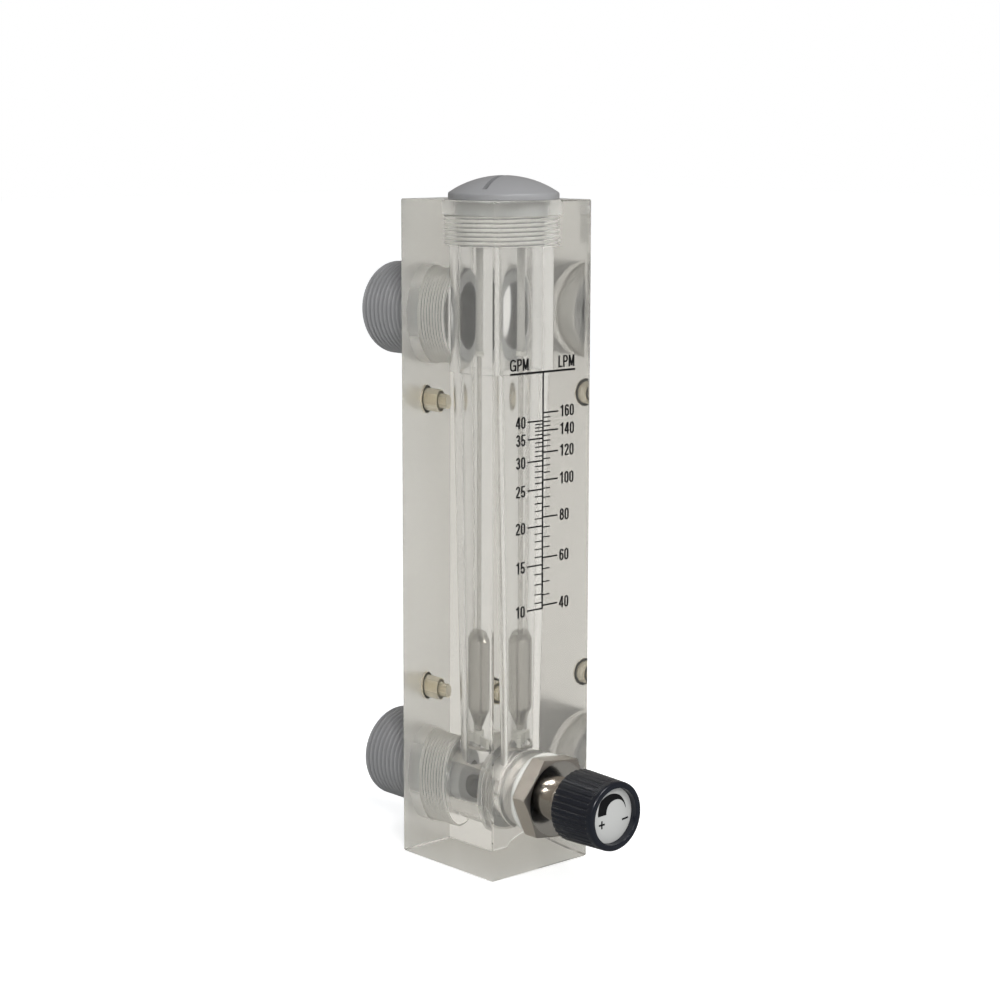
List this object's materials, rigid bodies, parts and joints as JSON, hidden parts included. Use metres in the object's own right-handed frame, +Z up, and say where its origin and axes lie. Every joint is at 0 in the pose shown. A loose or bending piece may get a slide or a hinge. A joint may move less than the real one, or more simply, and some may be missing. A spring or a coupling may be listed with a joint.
{
  "type": "panel rotameter",
  "caption": "Clear acrylic block flow meter: tapered tube with a float on a guide rod, printed scale, needle valve with knob, and threaded back ports.",
  "frame": {"origin": "middle of the block's base face", "axes": "+Z up along the tube, +Y to the back along the ports, +X to the right seen from the scale side"},
  "size_m": [0.045, 0.1152, 0.2401],
  "materials": {
    "acrylic": "polished clear acrylic",
    "grey_plastic": "smooth moulded",
    "black_rubber": "smooth",
    "grey_rubber": "smooth",
    "clear_plastic": "clear tube",
    "stainless": "turned and polished",
    "nylon": "translucent natural",
    "ptfe": "smooth",
    "brass": "machined",
    "nickel": "turned, nickel plated",
    "knob_plastic": "satin",
    "plate": "printed"
  },
  "bodies": {
    "meter": {"body_block": "acrylic", "outlet_fitting": "grey_plastic", "inlet_fitting": "grey_plastic", "valve_seat": "black_rubber", "outlet_seal": "grey_rubber", "inlet_seal": "grey_rubber", "top_plug": "grey_plastic", "plug_seal": "grey_rubber", "guide_rod": "stainless", "stop_sleeve": "clear_plastic", "stop_collar": "nylon", "lower_guide": "nylon", "guide_clip": "stainless", "lower_insert": "brass", "upper_insert": "brass", "valve_bonnet": "nickel", "bonnet_washer": "nylon", "bonnet_seal": "black_rubber", "stem_packing": "ptfe", "gland_nut": "nickel"},
    "float": {"float": "stainless"},
    "valve_plate": {"valve_disc": "nickel", "disc_seal": "black_rubber", "disc_clip": "stainless"},
    "valve_stem": {"valve_stem": "stainless", "knob": "knob_plastic", "knob_bush": "brass", "knob_screw": "stainless", "knob_plate": "plate"}
  },
  "joints": [
    {"name": "float_slide", "type": "slide", "parent": "meter", "child": "float", "axis": [0, 0, 1], "range_m": [0, 0.0964]},
    {"name": "valve_lift", "type": "slide", "parent": "meter", "child": "valve_plate", "axis": [0, 1, 0], "range_m": [0, 0.0075]},
    {"name": "knob_turn", "type": "hinge", "parent": "valve_plate", "child": "valve_stem", "pos_m": [0, -0.04, 0.0273], "axis": [0, 1, 0], "range_deg": [0, 1800]}
  ],
  "couplings": [
    {"joint": "knob_turn", "follows": "valve_lift", "rad_per_m": 4188.7}
  ]
}
